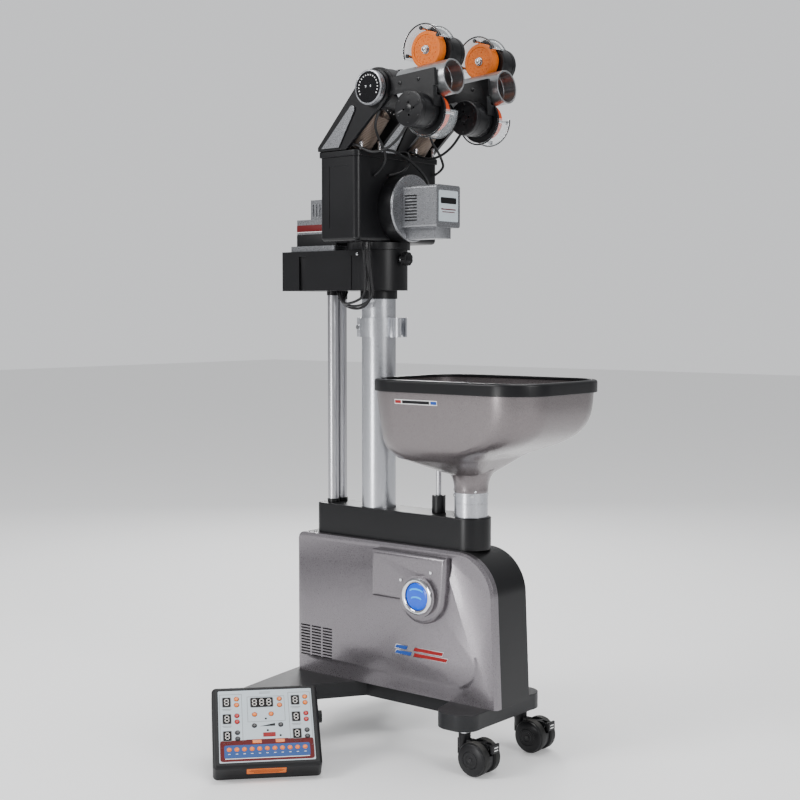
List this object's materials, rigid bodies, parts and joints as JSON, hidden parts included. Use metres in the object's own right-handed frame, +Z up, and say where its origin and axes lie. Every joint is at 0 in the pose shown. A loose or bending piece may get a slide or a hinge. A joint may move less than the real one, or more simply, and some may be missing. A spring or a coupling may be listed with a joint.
{
  "type": "table tennis ball machine",
  "caption": "Wheeled table tennis ball machine: a foot frame with casters, body, post, ball tub and two tilting launcher heads on a turret, with a separate control console.",
  "frame": {"origin": "centre of the underside of the whole object's box, on the floor", "axes": "+Z up along the post, +X the shooting direction, +Y to the left of it, away from the side with the power button"},
  "size_m": [0.523, 0.5846, 1.0775],
  "materials": {
    "foot_plastic": "dark grey moulded plastic with a fine grain",
    "silver_shell": "silver painted plastic cover",
    "black_shell": "black moulded plastic",
    "gloss_black": "glossy black plastic",
    "caster_black": "black caster plastic",
    "boss_silver": "silver painted plastic with a chromed ring",
    "button_blue": "clear blue push button, lit from inside",
    "channel_plastic": "grey moulded tube",
    "feed_rubber": "black rubber feed wheel",
    "motor_metal": "black painted motor can",
    "supply_case": "bare aluminium case",
    "post_silver": "silver lacquered steel tube",
    "bright_steel": "bright plated steel",
    "clip_silver": "silver painted strap and clip",
    "tub_grey": "silver grey moulded tub",
    "rim_black": "black moulded lip",
    "platform_black": "black head block",
    "sweep_unit": "silver grey motor housing with a dark red band and a black band",
    "turret_black": "black turret housing",
    "arm_black": "black arms with silver wedges",
    "spring_steel": "close-wound steel wire",
    "drive_silver": "silver drive face",
    "divider_plastic": "white moulded pocket wheel",
    "head_black": "black cast head frame",
    "muzzle_alu": "turned aluminium tube",
    "dial_black": "black dial with a silver ring",
    "wheel_orange": "orange rubber launch wheel on a metal hub",
    "guard_clear": "clear guard with bright posts",
    "console_black": "black console case",
    "console_film": "printed control film",
    "lead_black": "black round lead"
  },
  "bodies": {
    "base": {"base_frame": "foot_plastic", "front_shell": "silver_shell", "rear_shell": "black_shell", "plinth": "gloss_black", "switch_boss": "boss_silver", "ball_channel": "channel_plastic", "feed_motor": "motor_metal", "power_supply": "supply_case", "main_post": "post_silver", "side_tubes": "bright_steel", "bushings": "black_shell", "post_clip": "clip_silver", "fixed_screws": "bright_steel", "platform": "platform_black", "sweep_motor": "sweep_unit", "hopper": "tub_grey", "hopper_rim": "rim_black", "hopper_neck": "post_silver"},
    "power_button": {"power_button": "button_blue"},
    "feed_wheel": {"feed_wheel": "feed_rubber"},
    "clamp_knob": {"clamp_knob": "black_shell"},
    "turret": {"turret_housing": "turret_black", "turret_lid": "turret_black", "side_arms": "arm_black", "feed_springs": "spring_steel", "turret_screws": "bright_steel", "drive_cover": "drive_silver", "divider_motor": "motor_metal", "near_leads": "lead_black", "far_leads": "lead_black", "yaw_leads": "lead_black"},
    "divider": {"divider": "divider_plastic"},
    "console": {"console_case": "console_black", "console_panel": "console_film"},
    "front_right_swivel": {"front_right_caster_hood": "caster_black"},
    "front_right_wheels": {"front_right_caster_wheels": "caster_black"},
    "front_right_brake": {"front_right_brake_pedal": "caster_black"},
    "back_right_swivel": {"back_right_caster_hood": "caster_black"},
    "back_right_wheels": {"back_right_caster_wheels": "caster_black"},
    "back_right_brake": {"back_right_brake_pedal": "caster_black"},
    "front_left_swivel": {"front_left_caster_hood": "caster_black"},
    "front_left_wheels": {"front_left_caster_wheels": "caster_black"},
    "front_left_brake": {"front_left_brake_pedal": "caster_black"},
    "back_left_swivel": {"back_left_caster_hood": "caster_black"},
    "back_left_wheels": {"back_left_caster_wheels": "caster_black"},
    "back_left_brake": {"back_left_brake_pedal": "caster_black"},
    "near_head": {"near_head_frame": "head_black", "near_ball_tube": "muzzle_alu", "near_tilt_dial": "dial_black", "near_launch_motors": "motor_metal", "near_guards": "guard_clear"},
    "near_lower_wheel": {"near_lower_wheel": "wheel_orange"},
    "near_upper_wheel": {"near_upper_wheel": "wheel_orange"},
    "far_head": {"far_head_frame": "head_black", "far_ball_tube": "muzzle_alu", "far_tilt_dial": "dial_black", "far_launch_motors": "motor_metal", "far_guards": "guard_clear"},
    "far_lower_wheel": {"far_lower_wheel": "wheel_orange"},
    "far_upper_wheel": {"far_upper_wheel": "wheel_orange"}
  },
  "joints": [
    {"name": "front_right_swivel_turn", "type": "hinge", "parent": "base", "child": "front_right_swivel", "pos_m": [0.1285, -0.01867, 0.063], "axis": [0, 0, 1], "continuous": true},
    {"name": "front_right_wheel_roll", "type": "hinge", "parent": "front_right_swivel", "child": "front_right_wheels", "pos_m": [0.1545, -0.01867, 0.025], "axis": [0, 1, 0], "continuous": true},
    {"name": "front_right_brake_press", "type": "hinge", "parent": "front_right_swivel", "child": "front_right_brake", "pos_m": [0.1715, -0.01867, 0.043], "axis": [0, 1, 0], "range_deg": [0, 12]},
    {"name": "back_right_swivel_turn", "type": "hinge", "parent": "base", "child": "back_right_swivel", "pos_m": [0.1285, 0.12533, 0.063], "axis": [0, 0, 1], "continuous": true},
    {"name": "back_right_wheel_roll", "type": "hinge", "parent": "back_right_swivel", "child": "back_right_wheels", "pos_m": [0.1545, 0.12533, 0.025], "axis": [0, 1, 0], "continuous": true},
    {"name": "back_right_brake_press", "type": "hinge", "parent": "back_right_swivel", "child": "back_right_brake", "pos_m": [0.1715, 0.12533, 0.043], "axis": [0, 1, 0], "range_deg": [0, 12]},
    {"name": "front_left_swivel_turn", "type": "hinge", "parent": "base", "child": "front_left_swivel", "pos_m": [-0.1805, -0.15767, 0.063], "axis": [0, 0, 1], "continuous": true},
    {"name": "front_left_wheel_roll", "type": "hinge", "parent": "front_left_swivel", "child": "front_left_wheels", "pos_m": [-0.1545, -0.15767, 0.025], "axis": [0, 1, 0], "continuous": true},
    {"name": "front_left_brake_press", "type": "hinge", "parent": "front_left_swivel", "child": "front_left_brake", "pos_m": [-0.1375, -0.15767, 0.043], "axis": [0, 1, 0], "range_deg": [0, 12]},
    {"name": "back_left_swivel_turn", "type": "hinge", "parent": "base", "child": "back_left_swivel", "pos_m": [-0.1805, 0.26433, 0.063], "axis": [0, 0, 1], "continuous": true},
    {"name": "back_left_wheel_roll", "type": "hinge", "parent": "back_left_swivel", "child": "back_left_wheels", "pos_m": [-0.1545, 0.26433, 0.025], "axis": [0, 1, 0], "continuous": true},
    {"name": "back_left_brake_press", "type": "hinge", "parent": "back_left_swivel", "child": "back_left_brake", "pos_m": [-0.1375, 0.26433, 0.043], "axis": [0, 1, 0], "range_deg": [0, 12]},
    {"name": "power_button_press", "type": "slide", "parent": "base", "child": "power_button", "axis": [0, 1, 0], "range_m": [0, 0.0025], "stiffness_N_per_m": 500, "springref_m": -0.002},
    {"name": "feed_wheel_spin", "type": "hinge", "parent": "base", "child": "feed_wheel", "pos_m": [-0.1475, 0.05333, 0.23], "axis": [0, 1, 0], "continuous": true},
    {"name": "clamp_knob_turn", "type": "hinge", "parent": "base", "child": "clamp_knob", "pos_m": [-0.0495, 0.05333, 0.745], "axis": [1, 0, 0], "range_deg": [-360, 360]},
    {"name": "turret_yaw", "type": "hinge", "parent": "base", "child": "turret", "pos_m": [-0.0945, 0.05333, 0.759], "axis": [0, 0, 1], "range_deg": [-25, 25], "deforming": ["yaw_leads"]},
    {"name": "divider_spin", "type": "hinge", "parent": "turret", "child": "divider", "pos_m": [-0.0945, 0.05333, 0.8215], "axis": [1, 0, 0], "continuous": true},
    {"name": "near_head_tilt", "type": "hinge", "parent": "turret", "child": "near_head", "pos_m": [-0.0195, -0.01167, 0.99], "axis": [0, -1, 0], "range_deg": [-20, 30], "deforming": ["near_leads"]},
    {"name": "near_lower_wheel_spin", "type": "hinge", "parent": "near_head", "child": "near_lower_wheel", "pos_m": [0.06179, -0.01167, 0.95126], "axis": [0, 1, 0], "continuous": true},
    {"name": "near_upper_wheel_spin", "type": "hinge", "parent": "near_head", "child": "near_upper_wheel", "pos_m": [0.05473, -0.01167, 1.04098], "axis": [0, 1, 0], "continuous": true},
    {"name": "far_head_tilt", "type": "hinge", "parent": "turret", "child": "far_head", "pos_m": [-0.0195, 0.11833, 0.99], "axis": [0, -1, 0], "range_deg": [-20, 30], "deforming": ["far_leads"]},
    {"name": "far_lower_wheel_spin", "type": "hinge", "parent": "far_head", "child": "far_lower_wheel", "pos_m": [0.06179, 0.11833, 0.95126], "axis": [0, 1, 0], "continuous": true},
    {"name": "far_upper_wheel_spin", "type": "hinge", "parent": "far_head", "child": "far_upper_wheel", "pos_m": [0.05473, 0.11833, 1.04098], "axis": [0, 1, 0], "continuous": true},
    {"name": "console_lift", "type": "slide", "parent": "base", "child": "console", "axis": [0, 0, 1], "range_m": [0, 0.3]}
  ]
}
